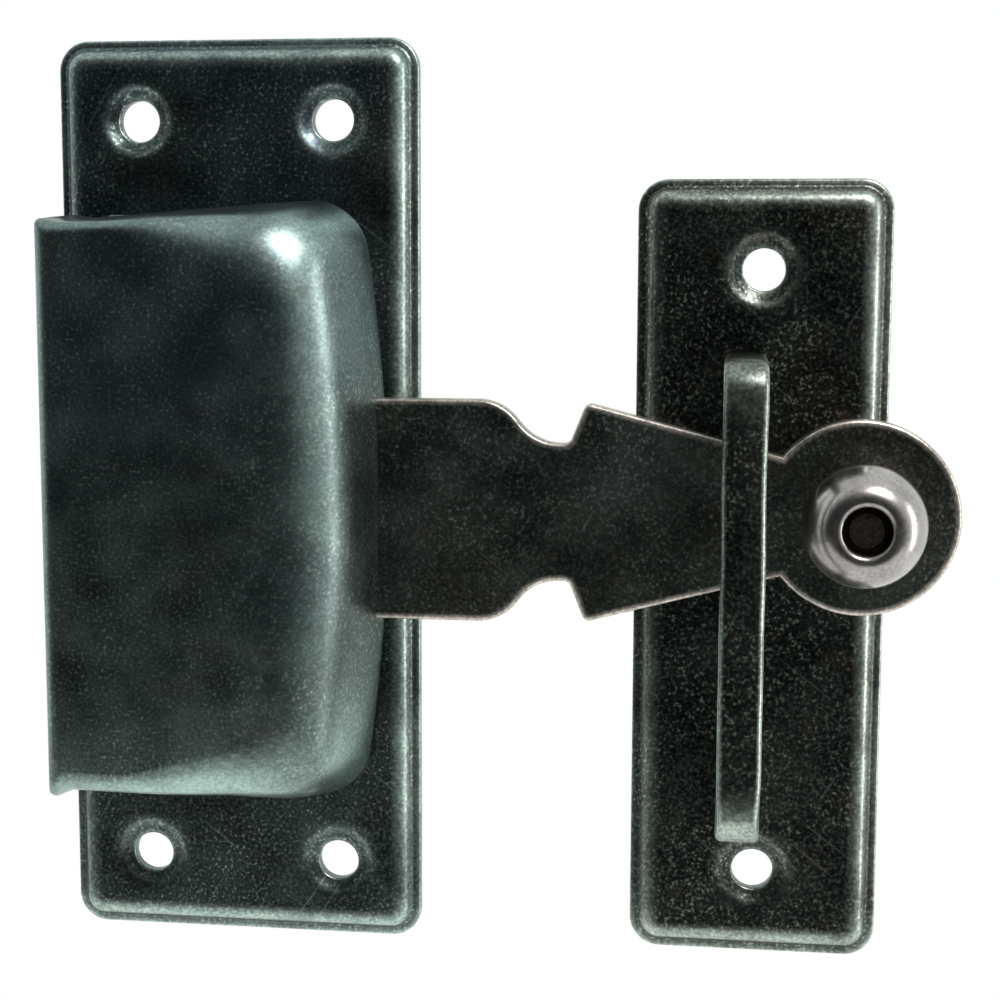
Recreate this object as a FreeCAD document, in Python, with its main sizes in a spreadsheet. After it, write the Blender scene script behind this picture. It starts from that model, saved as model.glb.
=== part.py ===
import FreeCAD, Part

import math
import os
import re

import Sketcher

# A surface-mounted toggle bolt latch for a small door or shutter, in millimetres.
# X runs along the bolt, Z is up, and Y runs into the door. The wall plane is Y = 0, so a
# height above the wall is minus Y. The origin is the centre of the housing's four screw
# holes, on the wall plane.

DIMENSIONS = {
    # Pressed sheet shared by both plates
    "sheet": 1.2,
    "plate_corner_radius": 3.2,
    "rim_width": 0.8,
    "shoulder_run": 1.2,
    "shoulder_radius": 0.9,
    "hollow_margin": 0.4,
    "field_height": 2.6,
    "screw_hole_radius": 2.2,
    "dimple_radius": 4.1,
    "dimple_depth": 0.7,
    # Housing plate
    "housing_width": 39.0,
    "housing_length": 97.0,
    "housing_screws_across": 21.0,
    "housing_screws_along": 80.0,
    # Keeper plate
    "keeper_width": 26.0,
    "keeper_length": 82.0,
    "keeper_screws_along": 63.5,
    "keeper_centre_x": 55.5,
    "keeper_centre_z": -7.2,
    # Cover over the tail of the bolt
    "cover_sheet": 1.1,
    "cover_left": 17.8,
    "cover_right": 17.4,
    "cover_bow": 2.8,
    "cover_half_length": 32.0,
    "cover_taper": 1.3,
    "cover_centre_z": -0.2,
    "cover_height": 15.0,
    "cover_side_draft": 1.9,
    "cover_nose_draft": 5.0,
    "cover_corner_radius": 5.0,
    "cover_edge_radius": 3.4,
    "cover_fold_radius": 1.5,
    "cover_wall_gap": 0.7,
    "cover_flange_depth": 2.4,
    "mouth_half_length": 28.6,
    "tab_width": 5.0,
    "tab_thickness": 0.8,
    "tab_inset": 0.85,
    "tab_left_x": -11.0,
    "tab_right_x": 8.0,
    # Bolt
    "bar_thickness": 2.0,
    "bar_half_width": 11.7,
    "bar_axis_z": -0.6,
    "bar_edge_radius": 0.3,
    "tail_wall": 2.4,
    "curve_start_x": 26.2,
    "waist_x": 34.9,
    "waist_half_width": 7.2,
    "shoulder_foot_x": 35.9,
    "shoulder_tip_x": 37.6,
    "shoulder_half_width": 11.5,
    "notch_radius": 0.9,
    "tip_radius": 0.8,
    "neck_x": 57.0,
    "neck_half_width": 6.5,
    "disc_x": 65.7,
    "disc_radius": 10.1,
    "bar_travel": 24.5,
    # Knob on the disc
    "knob_radius": 6.2,
    "knob_height": 10.4,
    "knob_foot_radius": 4.3,
    "knob_waist_radius": 3.6,
    "knob_waist_height": 2.2,
    "knob_belly_height": 5.4,
    "knob_dome_flatness": 1.15,
    "knob_top_radius": 3.3,
    "knob_recess_radius": 2.4,
    "knob_recess_depth": 1.9,
    "knob_recess_draft": 0.2,
    "knob_bore_radius": 1.5,
    "knob_rivet_head_radius": 2.0,
    "knob_rivet_head_height": 0.7,
    "knob_rivet_head_bevel": 0.3,
    # Pivot of the bolt
    "pivot_x": -13.0,
    "stud_radius": 1.5,
    "stud_head_radius": 2.9,
    "stud_head_height": 0.9,
    "stud_end_radius": 2.5,
    "stud_end_bevel": 0.6,
    "wear_washer_radius": 4.2,
    "wear_washer_thickness": 0.4,
    "retaining_washer_radius": 4.0,
    "retaining_washer_thickness": 0.6,
    "bush_side": 4.6,
    "bush_play": 0.15,
    # Leaf spring that holds the bolt by friction
    "spring_x": 5.0,
    "spring_width": 6.0,
    "spring_sheet": 0.5,
    "spring_shoulder_z": 18.8,
    "spring_foot_z": 20.6,
    "spring_end_z": 27.0,
    "spring_rise": 2.1,
    "spring_gap": 0.15,
    "spring_rivet_z": 24.0,
    "rivet_radius": 1.0,
    "rivet_head_radius": 1.8,
    "rivet_head_height": 0.8,
    "rivet_head_bevel": 0.5,
    # Keeper staple
    "staple_x": 53.8,
    "staple_centre_z": -7.6,
    "staple_width": 4.3,
    "staple_strap": 2.5,
    "staple_length": 46.9,
    "staple_height": 20.0,
    "staple_bend_radius": 3.0,
    "tenon_width": 2.6,
    "tenon_thickness": 1.6,
    "peen_margin": 0.6,
    "peen_height": 0.8,
    # Clearances
    "running_clearance": 0.05,
    "slot_clearance": 0.06,
    "end_clearance": 0.1,
    "washer_play": 0.05,
    "press_clearance": 0.02,
    "lip_clearance": 0.45,
}

# Places that follow from the dimensions above, each a formula in their names.
DERIVED = {
    "field_back": "field_height - sheet",
    "bush_back": "field_height + wear_washer_thickness + washer_play",
    "bar_back": "bush_back + bush_play / 2",
    "bar_front": "bar_back + bar_thickness",
    "bush_front": "bush_back + bar_thickness + bush_play",
    "retainer_back": "bush_front + washer_play",
    "retainer_front": "retainer_back + retaining_washer_thickness",
    "slot_half_width": "bush_side / 2 + slot_clearance",
    "slot_left": "pivot_x - bush_side / 2 - end_clearance",
    "slot_right": "pivot_x + bush_side / 2 + end_clearance + bar_travel",
    "tail_x": "slot_left - tail_wall",
    "curve_middle_x": "(curve_start_x + waist_x) / 2",
    "curve_middle_z": "(bar_half_width + waist_half_width) / 2",
    "curve_drop": "bar_half_width - waist_half_width",
    "curve_radius": "((waist_x - curve_start_x)^2 + curve_drop^2) / (4 * curve_drop)",
    "cover_foot": "field_height + cover_wall_gap",
    "lip_height": "bar_front + lip_clearance",
    "face_half_length": "cover_half_length - cover_side_draft",
    "foot_corner_x": "cover_right - cover_bow",
    "face_corner_x": "cover_right - cover_nose_draft - cover_bow",
    "foot_bow_radius": "(cover_half_length^2 + cover_bow^2) / (2 * cover_bow)",
    "face_bow_radius": "(face_half_length^2 + cover_bow^2) / (2 * cover_bow)",
    "cover_slope": "cover_taper / (cover_left + cover_right)",
    "tab_line": "cover_half_length - tab_inset - cover_slope * cover_right",
    "tab_top": "cover_foot + cover_sheet",
    "peen_back": "field_back - peen_height",
    "spring_low": "bar_front + spring_gap",
    "spring_bow_radius": "(spring_shoulder_z^2 + spring_rise^2) / (2 * spring_rise)",
    "staple_top": "staple_centre_z + staple_length / 2",
    "staple_bottom": "staple_centre_z - staple_length / 2",
    "knob_base": "bar_front",
    "knob_dome_rise": "knob_height - knob_belly_height",
    "knob_dome_radius": "knob_dome_rise * knob_dome_flatness",
}

# How near two places must be when an edge is picked by its box.
CLOSE = 0.01

doc = FreeCAD.newDocument("toggle_bolt_latch")
sheet = doc.addObject("Spreadsheet::Sheet", "sizes")


def fill_sheet():
    """Write every dimension into the sheet, one row each, with its name as the alias."""
    for row, (name, value) in enumerate(DIMENSIONS.items(), start=1):
        sheet.set(f"A{row}", name)
        sheet.set(f"B{row}", str(value))
        sheet.setAlias(f"B{row}", name)
    doc.recompute()


def formula(text):
    """Turn a formula in dimension names into an expression on the sheet's cells."""

    def expand(match):
        name = match[0]
        if name in DERIVED:
            return f"({formula(DERIVED[name])})"
        if name in DIMENSIONS:
            return f"sizes.{name}"
        return name

    return re.sub(r"[a-z][a-z_]*", expand, text)


def number(text):
    """The present value of a formula."""
    return float(sheet.evalExpression(formula(text)))


def new_body(label):
    body = doc.addObject("PartDesign::Body", label)
    body.Label = label
    return body


def new_sketch(body, name, plane, x="0", y="0", z="0"):
    """A sketch on one of the body's own origin planes, moved by formulas in its own axes."""
    sketch = body.newObject("Sketcher::SketchObject", f"{body.Name}_{name}")
    support = next(item for item in body.Origin.OriginFeatures if item.Role == plane)
    sketch.AttachmentSupport = [(support, "")]
    sketch.MapMode = "FlatFace"
    for axis, text in (("x", x), ("y", y), ("z", z)):
        sketch.setExpression(f"AttachmentOffset.Base.{axis}", formula(text))
    return sketch


def wall_sketch(body, name, height="0"):
    """A sketch parallel to the wall, facing away from it, in X and Z."""
    return new_sketch(body, name, "XZ_Plane", z=height)


def bind(sketch, kind, geometry, point, text):
    """Add one dimension to a sketch and bind it to a formula."""
    if point is None:
        constraint = Sketcher.Constraint(kind, geometry, number(text))
    else:
        constraint = Sketcher.Constraint(kind, geometry, point, number(text))
    index = sketch.addConstraint(constraint)
    sketch.setExpression(f"Constraints[{index}]", formula(text))


def draw_loop(sketch, corners):
    """Draw a closed outline. A corner is (x, y) for a straight run to the next one, or
    (x, y, radius, side) for an arc whose centre is on the left (1) or the right (-1)."""
    places = [FreeCAD.Vector(number(c[0]), number(c[1]), 0) for c in corners]
    ends = []
    for index, corner in enumerate(corners):
        start = places[index]
        finish = places[(index + 1) % len(places)]
        if len(corner) == 2:
            geometry = sketch.addGeometry(Part.LineSegment(start, finish))
            ends.append((geometry, 1, 2))
            continue
        radius, side = number(corner[2]), corner[3]
        chord = finish - start
        left = FreeCAD.Vector(-chord.y, chord.x, 0).normalize()
        sagitta = radius - math.sqrt(radius**2 - (chord.Length / 2) ** 2)
        middle = (start + finish) / 2 - left * side * sagitta
        geometry = sketch.addGeometry(Part.Arc(start, middle, finish))
        ends.append((geometry, 1, 2) if side > 0 else (geometry, 2, 1))
    for index, corner in enumerate(corners):
        geometry, start_point, end_point = ends[index]
        following, following_point, _ = ends[(index + 1) % len(ends)]
        sketch.addConstraint(
            Sketcher.Constraint("Coincident", geometry, end_point, following, following_point)
        )
        bind(sketch, "DistanceX", geometry, start_point, corner[0])
        bind(sketch, "DistanceY", geometry, start_point, corner[1])
        if len(corner) == 4:
            bind(sketch, "Radius", geometry, None, corner[2])


def draw_rectangle(sketch, x, y, half_width, half_height):
    low_x, high_x = f"{x} - ({half_width})", f"{x} + {half_width}"
    low_y, high_y = f"{y} - ({half_height})", f"{y} + {half_height}"
    draw_loop(sketch, [(low_x, low_y), (high_x, low_y), (high_x, high_y), (low_x, high_y)])


def draw_rounded(sketch, x, y, half_width, half_height, radius):
    """A rectangle with rounded corners."""
    left, right = f"{x} - ({half_width})", f"{x} + {half_width}"
    low, high = f"{y} - ({half_height})", f"{y} + {half_height}"
    draw_loop(sketch, [
        (f"{left} + {radius}", low),
        (f"{right} - {radius}", low, radius, 1),
        (right, f"{low} + {radius}"),
        (right, f"{high} - {radius}", radius, 1),
        (f"{right} - {radius}", high),
        (f"{left} + {radius}", high, radius, 1),
        (left, f"{high} - {radius}"),
        (left, f"{low} + {radius}", radius, 1),
    ])


def draw_circle(sketch, x, y, radius):
    circle = Part.Circle(
        FreeCAD.Vector(number(x), number(y), 0), FreeCAD.Vector(0, 0, 1), number(radius)
    )
    geometry = sketch.addGeometry(circle)
    bind(sketch, "DistanceX", geometry, 3, x)
    bind(sketch, "DistanceY", geometry, 3, y)
    bind(sketch, "Radius", geometry, None, radius)


def pad(body, sketch, length):
    """Extrude a sketch along its normal."""
    feature = body.newObject("PartDesign::Pad", f"{sketch.Name}_pad")
    feature.Profile = sketch
    feature.setExpression("Length", formula(length))


def cut(body, sketch, depth):
    """Cut a sketch along its normal, and make sure that it removed material."""
    doc.recompute()
    before = body.Shape.Volume
    feature = body.newObject("PartDesign::Pocket", f"{sketch.Name}_cut")
    feature.Profile = sketch
    feature.Reversed = True
    feature.setExpression("Length", formula(depth))
    doc.recompute()
    if body.Shape.Volume >= before:
        raise RuntimeError(f"{feature.Name} removed nothing")


def fillet(body, name, radius, chooser):
    """Round the edges of the body's last feature that the chooser accepts."""
    doc.recompute()
    base = body.Tip
    names = [f"Edge{i}" for i, edge in enumerate(base.Shape.Edges, start=1) if chooser(edge)]
    if not names:
        raise RuntimeError(f"{name} found no edges")
    feature = body.newObject("PartDesign::Fillet", f"{body.Name}_{name}")
    feature.Base = (base, names)
    feature.setExpression("Radius", formula(radius))


def at_height(edge, height):
    """Whether an edge lies all at one height above the wall."""
    box = edge.BoundBox
    return max(abs(box.YMin + number(height)), abs(box.YMax + number(height))) < CLOSE


def upright(edge):
    """Whether an edge runs straight away from the wall."""
    box = edge.BoundBox
    return box.YLength > CLOSE > max(box.XLength, box.ZLength)


def turned(label, x, z, profile):
    """A turned piece on an axis away from the wall: its profile is radius against height."""
    body = new_body(label)
    sketch = new_sketch(body, "profile", "XY_Plane", x=x, z=z)
    corners = [(radius, f"-({height})", *rest) for radius, height, *rest in profile]
    draw_loop(sketch, corners)
    revolution = body.newObject("PartDesign::Revolution", f"{label}_revolution")
    revolution.Profile = sketch
    revolution.ReferenceAxis = (sketch, ["V_Axis"])
    revolution.Angle = 360
    return body


def groove(body, name, x, z, profile):
    """Cut a turned shape into a body, and make sure that it removed material."""
    doc.recompute()
    before = body.Shape.Volume
    sketch = new_sketch(body, name, "XY_Plane", x=x, z=z)
    draw_loop(sketch, [(radius, f"-({height})") for radius, height in profile])
    feature = body.newObject("PartDesign::Groove", f"{sketch.Name}_groove")
    feature.Profile = sketch
    feature.ReferenceAxis = (sketch, ["V_Axis"])
    feature.Angle = 360
    doc.recompute()
    if body.Shape.Volume >= before:
        raise RuntimeError(f"{feature.Name} removed nothing")


def loft_between(body, name, lower, upper):
    loft = body.newObject("PartDesign::AdditiveLoft", f"{body.Name}_{name}")
    loft.Profile = lower
    loft.Sections = [upper]
    loft.Ruled = True


def pressed_plate(label, x, z, width, length, screws, slots):
    """A back plate pressed from sheet: a raised field, a shoulder, and a narrow rim."""
    body = new_body(label)

    def outline(name, height, inset, corner="(plate_corner_radius - rim_width)"):
        sketch = wall_sketch(body, name, height)
        half_width, half_length = f"{width} / 2 - ({inset})", f"{length} / 2 - ({inset})"
        draw_rounded(sketch, x, z, half_width, half_length, corner)
        return sketch

    pad(body, outline("rim", "0", "0", "plate_corner_radius"), "sheet")
    foot = outline("shoulder_foot", "sheet / 2", "rim_width")
    top = outline("shoulder_top", "field_height", "rim_width + shoulder_run")
    loft_between(body, "field", foot, top)
    fillet(body, "shoulder", "shoulder_radius", lambda e: at_height(e, "field_height"))
    cut(body, outline("hollow", "0", "rim_width + shoulder_run + hollow_margin"), "field_back")

    bosses = wall_sketch(body, "dimple_backs", "field_back - dimple_depth")
    for screw_x, screw_z in screws:
        draw_circle(bosses, screw_x, screw_z, "dimple_radius - sheet / 2")
    pad(body, bosses, "dimple_depth + sheet / 2")
    for index, (screw_x, screw_z) in enumerate(screws, start=1):
        groove(body, f"dimple_{index}", screw_x, screw_z, [
            ("0", "0"),
            ("screw_hole_radius", "0"),
            ("screw_hole_radius", "field_height - dimple_depth"),
            ("dimple_radius", "field_height"),
            ("0", "field_height"),
        ])
    for index, (slot_x, slot_z, half_width, half_length) in enumerate(slots, start=1):
        sketch = wall_sketch(body, f"slot_{index}")
        draw_rectangle(sketch, slot_x, slot_z, half_width, half_length)
        cut(body, sketch, "field_height")
    return body


def round_holes(body, holes):
    """Straight round holes through the field of a plate, as (x, z, radius)."""
    sketch = wall_sketch(body, "rivet_holes")
    for x, z, radius in holes:
        draw_circle(sketch, x, z, radius)
    cut(body, sketch, "field_height")


def washer(label, x, z, back, thickness, outer, inner):
    body = new_body(label)
    sketch = wall_sketch(body, "ring", back)
    draw_circle(sketch, x, z, outer)
    draw_circle(sketch, x, z, inner)
    pad(body, sketch, thickness)
    return body


def cover_form(label, inset):
    """One side of the drawn cover: the outside of the sheet, or the inside at its thickness."""
    body = new_body(label)

    def outline(name, height, half_length, corner_x, bow_radius):
        sketch = wall_sketch(body, name, height)
        left, right = f"-cover_left + {inset}", f"{corner_x} - {inset}"
        reach = f"({half_length} - {inset})"
        low, high = f"cover_centre_z - {reach}", f"cover_centre_z + {reach}"
        draw_loop(sketch, [
            (left, f"{low} + cover_taper"),
            (right, low, bow_radius, 1),
            (right, high),
            (left, f"{high} - cover_taper"),
        ])
        return sketch

    foot = outline("foot", "cover_foot", "cover_half_length", "foot_corner_x", "foot_bow_radius")
    face_height = f"cover_height - {inset}"
    face = outline("face", face_height, "face_half_length", "face_corner_x", "face_bow_radius")
    loft_between(body, "form", foot, face)

    def nose_corner(edge):
        box = edge.BoundBox
        return box.YLength > number("cover_height") / 2 and box.XMin > 0

    def face_edge(edge):
        return at_height(edge, face_height) and edge.BoundBox.XMax > 0

    def fold_edge(edge):
        return at_height(edge, face_height) and edge.BoundBox.XMax < 0

    fillet(body, "nose_corners", f"cover_corner_radius - {inset}", nose_corner)
    fillet(body, "face_edges", f"cover_edge_radius - {inset}", face_edge)
    fillet(body, "fold", f"cover_fold_radius - {inset}", fold_edge)
    return body


def make_cover():
    """The drawn sheet cover: open at the left under a short flange, and along its right side
    for the bolt. Its four tabs pass through the plate and are upset behind it."""
    outside = cover_form("cover_outside", "0")
    for index, (x, z) in enumerate(cover_tabs, start=1):
        tab = wall_sketch(outside, f"tab_{index}", "peen_back")
        draw_rectangle(tab, x, z, "tab_width / 2", "tab_thickness / 2")
        pad(outside, tab, "tab_top - (peen_back)")
        upset = wall_sketch(outside, f"upset_{index}", "peen_back")
        draw_rectangle(upset, x, z, "tab_width / 2 + peen_margin",
                       "tab_thickness / 2 + peen_margin")
        pad(outside, upset, "peen_height")

    inside = cover_form("cover_inside", "cover_sheet")
    mouth = new_sketch(inside, "mouth", "YZ_Plane")
    draw_rectangle(mouth, "-(lip_height + cover_foot) / 2 + cover_sheet / 2", "bar_axis_z",
                   "(lip_height - cover_foot + cover_sheet) / 2", "mouth_half_length")
    pad(inside, mouth, "cover_right + cover_sheet")
    side = new_sketch(inside, "side", "YZ_Plane", z="-cover_left - cover_sheet")
    opening = "cover_height - cover_flange_depth - cover_foot"
    draw_rectangle(side, f"-(cover_foot + ({opening}) / 2)", "cover_centre_z",
                   f"({opening}) / 2",
                   "face_half_length - cover_taper - cover_sheet - cover_fold_radius")
    pad(inside, side, "cover_left")

    cover = doc.addObject("Part::Cut", "housing_cover")
    cover.Label = "housing_cover"
    cover.Base = outside
    cover.Tool = inside
    return cover


def make_bar():
    """The flat bolt: a tail with a slot for the bush, a waist, a tapered neck and a disc."""
    body = new_body("latch_bar")
    blank = wall_sketch(body, "blank", "bar_back")
    half = [
        ("tail_x", "bar_half_width"),
        ("curve_start_x", "bar_half_width", "curve_radius", -1),
        ("curve_middle_x", "curve_middle_z", "curve_radius", 1),
        ("waist_x", "waist_half_width"),
        ("shoulder_foot_x", "waist_half_width"),
        ("shoulder_tip_x", "shoulder_half_width"),
        ("neck_x", "neck_half_width"),
    ]
    upper = [(x, f"bar_axis_z + {z}", *rest) for x, z, *rest in half]
    lower = [
        ("neck_x", "bar_axis_z - neck_half_width"),
        ("shoulder_tip_x", "bar_axis_z - shoulder_half_width"),
        ("shoulder_foot_x", "bar_axis_z - waist_half_width"),
        ("waist_x", "bar_axis_z - waist_half_width", "curve_radius", 1),
        ("curve_middle_x", "bar_axis_z - (curve_middle_z)", "curve_radius", -1),
        ("curve_start_x", "bar_axis_z - bar_half_width"),
        ("tail_x", "bar_axis_z - bar_half_width"),
    ]
    draw_loop(blank, upper + lower)
    pad(body, blank, "bar_thickness")
    disc = wall_sketch(body, "disc", "bar_back")
    draw_circle(disc, "disc_x", "bar_axis_z", "disc_radius")
    pad(body, disc, "bar_thickness")

    def near(edge, x_text):
        return upright(edge) and abs(edge.BoundBox.XMin - number(x_text)) < CLOSE

    fillet(body, "notches", "notch_radius", lambda e: near(e, "shoulder_foot_x"))
    fillet(body, "tips", "tip_radius", lambda e: near(e, "shoulder_tip_x"))
    fillet(body, "front_edge", "bar_edge_radius", lambda e: at_height(e, "bar_front"))

    slot = wall_sketch(body, "bush_slot", "bar_back")
    draw_rectangle(slot, "(slot_left + slot_right) / 2", "bar_axis_z",
                   "(slot_right - slot_left) / 2", "slot_half_width")
    cut(body, slot, "bar_thickness")
    bore = wall_sketch(body, "knob_rivet_hole", "bar_back")
    draw_circle(bore, "disc_x", "bar_axis_z", "knob_bore_radius")
    cut(body, bore, "bar_thickness")
    return body


def make_knob():
    """A turned knob with a belly, a domed top and a recess for the rivet."""
    return turned("bar_knob", "disc_x", "bar_axis_z", [
        ("knob_bore_radius", "knob_base"),
        ("knob_foot_radius", "knob_base"),
        ("knob_waist_radius", "knob_base + knob_waist_height"),
        ("knob_radius", "knob_base + knob_belly_height", "knob_dome_radius", -1),
        ("knob_top_radius", "knob_base + knob_height"),
        ("knob_recess_radius", "knob_base + knob_height"),
        ("knob_recess_radius - knob_recess_draft", "knob_base + knob_height - knob_recess_depth"),
        ("knob_bore_radius", "knob_base + knob_height - knob_recess_depth"),
    ])


def make_knob_rivet():
    """The rivet that holds the knob: a flat head under the disc, and an upset end on top."""
    floor = "knob_base + knob_height - knob_recess_depth"
    return turned("knob_rivet", "disc_x", "bar_axis_z", [
        ("0", "bar_back"),
        ("knob_bore_radius - press_clearance", "bar_back"),
        ("knob_bore_radius - press_clearance", floor),
        ("knob_rivet_head_radius", floor),
        ("knob_rivet_head_radius - knob_rivet_head_bevel", f"{floor} + knob_rivet_head_height"),
        ("0", f"{floor} + knob_rivet_head_height"),
    ])


def make_stud():
    """The pivot rivet: a flat head behind the plate, and an upset end over the washer."""
    return turned("pivot_stud", "pivot_x", "bar_axis_z", [
        ("0", "field_back - stud_head_height"),
        ("stud_head_radius", "field_back - stud_head_height"),
        ("stud_head_radius", "field_back"),
        ("stud_radius", "field_back"),
        ("stud_radius", "retainer_front"),
        ("stud_end_radius", "retainer_front"),
        ("stud_end_radius - stud_end_bevel", "retainer_front + stud_head_height"),
        ("0", "retainer_front + stud_head_height"),
    ])


def make_bush():
    """The square block that turns on the stud and slides in the slot of the bar."""
    body = new_body("slide_bush")
    sketch = wall_sketch(body, "block", "bush_back")
    draw_rectangle(sketch, "pivot_x", "bar_axis_z", "bush_side / 2", "bush_side / 2")
    draw_circle(sketch, "pivot_x", "bar_axis_z", "stud_radius + running_clearance")
    pad(body, sketch, "bar_thickness + bush_play")
    return body


def make_spring():
    """The leaf spring: two feet on the plate and a bow that presses on the bar."""
    body = new_body("friction_spring")
    sketch = new_sketch(body, "edge", "YZ_Plane", z="spring_x - spring_width / 2")
    low, top = "spring_low + spring_rise", "spring_low + spring_rise + spring_sheet"
    foot = "field_height + spring_sheet"
    bow = "spring_bow_radius"
    draw_loop(sketch, [
        ("-field_height", "spring_end_z"),
        ("-field_height", "spring_foot_z"),
        (f"-({low})", "spring_shoulder_z", bow, -1),
        (f"-({low})", "-spring_shoulder_z"),
        ("-field_height", "-spring_foot_z"),
        ("-field_height", "-spring_end_z"),
        (f"-({foot})", "-spring_end_z"),
        (f"-({foot})", "-spring_foot_z - spring_sheet"),
        (f"-({top})", "-spring_shoulder_z - spring_sheet", f"{bow} + spring_sheet", 1),
        (f"-({top})", "spring_shoulder_z + spring_sheet"),
        (f"-({foot})", "spring_foot_z + spring_sheet"),
        (f"-({foot})", "spring_end_z"),
    ])
    pad(body, sketch, "spring_width")
    holes = wall_sketch(body, "rivet_holes", "field_height")
    for side in ("", "-"):
        draw_circle(holes, "spring_x", f"{side}spring_rivet_z", "rivet_radius + press_clearance")
    cut(body, holes, "spring_sheet")
    return body


def make_spring_rivets():
    """Two small rivets, one in each foot of the spring."""
    top = "field_height + spring_sheet"
    rivets = []
    for name, side in (("upper", ""), ("lower", "-")):
        rivets.append(turned(f"spring_rivet_{name}", "spring_x", f"{side}spring_rivet_z", [
            ("0", "field_back - rivet_head_height"),
            ("rivet_head_radius", "field_back - rivet_head_height"),
            ("rivet_head_radius", "field_back"),
            ("rivet_radius", "field_back"),
            ("rivet_radius", top),
            ("rivet_head_radius", top),
            ("rivet_head_radius - rivet_head_bevel", f"{top} + rivet_head_height"),
            ("0", f"{top} + rivet_head_height"),
        ]))
    group = doc.addObject("Part::Compound", "spring_rivets")
    group.Label = "spring_rivets"
    group.Links = rivets
    return group


def make_staple():
    """The keeper staple: a strap bent twice, with a tenon on each leg upset behind the plate."""
    body = new_body("keeper_staple")
    sketch = new_sketch(body, "bend", "YZ_Plane", z="staple_x - staple_width / 2")
    outer, inner = "staple_height", "staple_height - staple_strap"
    draw_loop(sketch, [
        ("-field_height", "staple_bottom"),
        ("-field_height", "staple_bottom + staple_strap"),
        (f"-({inner})", "staple_bottom + staple_strap"),
        (f"-({inner})", "staple_top - staple_strap"),
        ("-field_height", "staple_top - staple_strap"),
        ("-field_height", "staple_top"),
        (f"-{outer}", "staple_top"),
        (f"-{outer}", "staple_bottom"),
    ])
    pad(body, sketch, "staple_width")

    def bend(edge):
        return at_height(edge, outer) and edge.BoundBox.ZLength < CLOSE

    fillet(body, "bends", "staple_bend_radius", bend)
    for index, z in enumerate(staple_legs, start=1):
        tenon = wall_sketch(body, f"tenon_{index}", "peen_back")
        draw_rectangle(tenon, "staple_x", z, "tenon_width / 2", "tenon_thickness / 2")
        pad(body, tenon, "field_height - (peen_back)")
        upset = wall_sketch(body, f"upset_{index}", "peen_back")
        draw_rectangle(upset, "staple_x", z, "tenon_width / 2 + peen_margin",
                       "tenon_thickness / 2 + peen_margin")
        pad(body, upset, "peen_height")
    return body


def save(bodies):
    """Check every object, then write each piece to a file of its own name."""
    doc.recompute()
    for item in doc.Objects:
        if "Invalid" in item.State or "Error" in item.State:
            raise RuntimeError(f"{item.Name} failed: {item.State}")
    os.makedirs("parts", exist_ok=True)
    for body in bodies:
        shape = body.Shape
        if shape.isNull() or not shape.isValid():
            raise RuntimeError(f"{body.Label} has no valid shape")
        shape.exportStep(f"parts/{body.Label}.step")
        print(f"{body.Label}: {len(shape.Solids)} solid(s), {shape.Volume:.1f} mm3")


fill_sheet()

housing_screws = [
    (f"{across} * housing_screws_across / 2", f"{along} * housing_screws_along / 2")
    for along in (1, -1)
    for across in (-1, 1)
]
cover_tabs = [
    (x, f"cover_centre_z + {along} * (tab_line + cover_slope * {x})")
    for x in ("tab_left_x", "tab_right_x")
    for along in (1, -1)
]
keeper_screws = [
    ("keeper_centre_x", f"keeper_centre_z + {along} * keeper_screws_along / 2")
    for along in (1, -1)
]
staple_legs = ["staple_top - staple_strap / 2", "staple_bottom + staple_strap / 2"]

tab_slots = [
    (x, z, "tab_width / 2 + press_clearance", "tab_thickness / 2 + press_clearance")
    for x, z in cover_tabs
]
tenon_slots = [
    ("staple_x", z, "tenon_width / 2 + press_clearance", "tenon_thickness / 2 + press_clearance")
    for z in staple_legs
]
housing_plate = pressed_plate("housing_plate", "0", "0", "housing_width", "housing_length",
                              housing_screws, tab_slots)
round_holes(housing_plate, [
    ("pivot_x", "bar_axis_z", "stud_radius + press_clearance"),
    ("spring_x", "spring_rivet_z", "rivet_radius + press_clearance"),
    ("spring_x", "-spring_rivet_z", "rivet_radius + press_clearance"),
])
keeper_plate = pressed_plate("keeper_plate", "keeper_centre_x", "keeper_centre_z",
                             "keeper_width", "keeper_length", keeper_screws, tenon_slots)
save([
    housing_plate,
    make_cover(),
    make_stud(),
    washer("wear_washer", "pivot_x", "bar_axis_z", "field_height", "wear_washer_thickness",
           "wear_washer_radius", "stud_radius + press_clearance"),
    washer("retaining_washer", "pivot_x", "bar_axis_z", "retainer_back",
           "retaining_washer_thickness", "retaining_washer_radius",
           "stud_radius + press_clearance"),
    make_spring(),
    make_spring_rivets(),
    keeper_plate,
    make_staple(),
    make_bush(),
    make_bar(),
    make_knob(),
    make_knob_rivet(),
])
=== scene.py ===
import math

import bmesh
import bpy
from mathutils import Matrix, Vector, noise


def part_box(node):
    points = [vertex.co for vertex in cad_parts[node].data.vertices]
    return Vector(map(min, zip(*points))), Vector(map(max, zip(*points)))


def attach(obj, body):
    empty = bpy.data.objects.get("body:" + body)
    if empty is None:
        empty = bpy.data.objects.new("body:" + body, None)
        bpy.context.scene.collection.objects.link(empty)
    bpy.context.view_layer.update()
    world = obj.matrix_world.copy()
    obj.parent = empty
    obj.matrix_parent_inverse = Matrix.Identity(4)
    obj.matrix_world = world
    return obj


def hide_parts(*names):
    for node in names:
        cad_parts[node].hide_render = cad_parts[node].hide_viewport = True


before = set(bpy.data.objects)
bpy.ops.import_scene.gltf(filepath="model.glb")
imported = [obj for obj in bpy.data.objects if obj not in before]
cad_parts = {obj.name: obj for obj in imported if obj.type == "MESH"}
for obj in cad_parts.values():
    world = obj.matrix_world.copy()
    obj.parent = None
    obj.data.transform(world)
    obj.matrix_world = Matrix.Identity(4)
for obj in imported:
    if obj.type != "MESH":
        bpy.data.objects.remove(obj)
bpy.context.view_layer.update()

MM = 0.001

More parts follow.
